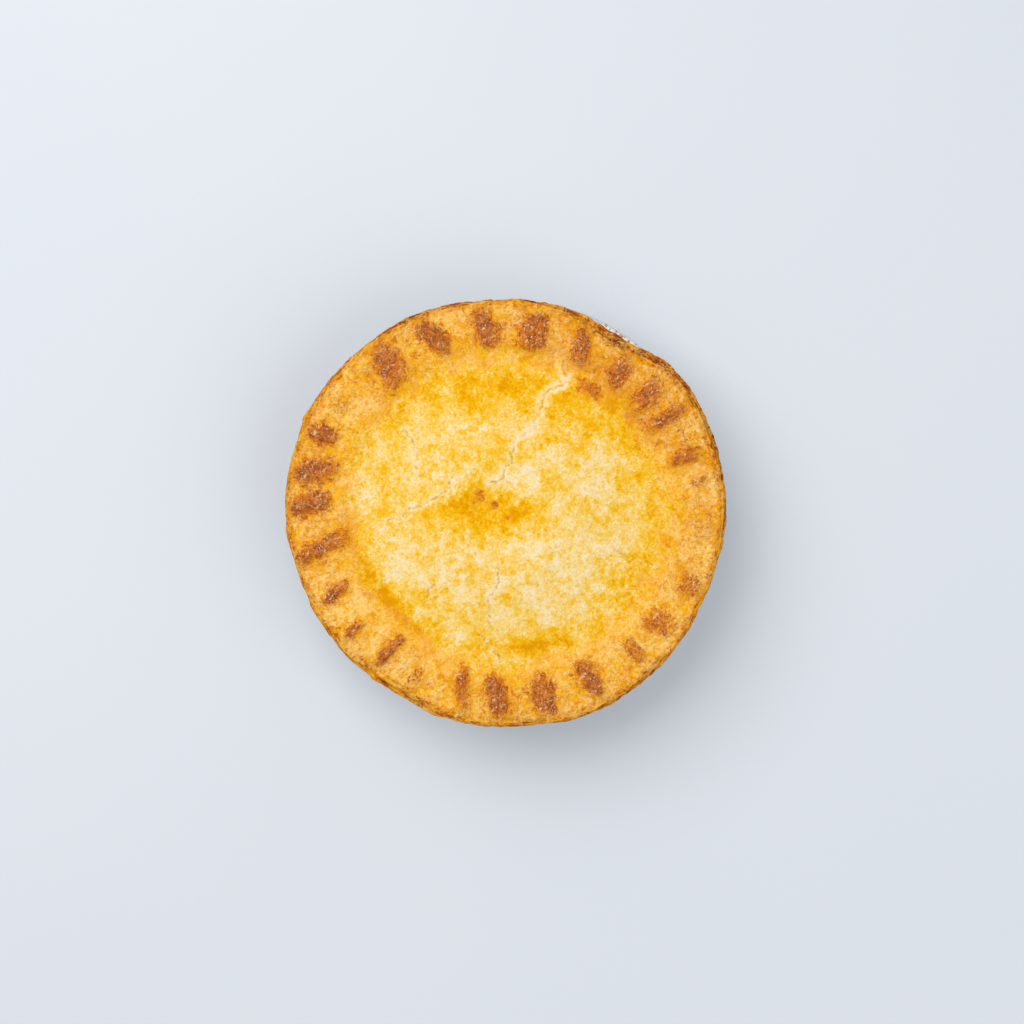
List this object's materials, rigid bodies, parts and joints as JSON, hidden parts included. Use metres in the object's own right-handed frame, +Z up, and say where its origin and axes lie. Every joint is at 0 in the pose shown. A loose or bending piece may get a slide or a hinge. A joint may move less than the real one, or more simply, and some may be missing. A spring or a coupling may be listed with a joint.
{
  "type": "pot pie",
  "caption": "Round, uncut pot pie with a golden lid, pinched browned crimps and fine cracks, baked in a shallow sloping foil tin that it rests in",
  "frame": {"origin": "the middle of the tin's flat underside, where it rests", "axes": "+Z is up, out of the lid; +X is the right of the pie and +Y its top, as seen from above in the picture"},
  "size_m": [0.2005, 0.1946, 0.0488],
  "materials": {
    "crust": "satin",
    "foil": "satin"
  },
  "bodies": {
    "root": {"pie": "crust", "foil_tin": "foil"}
  },
  "joints": []
}
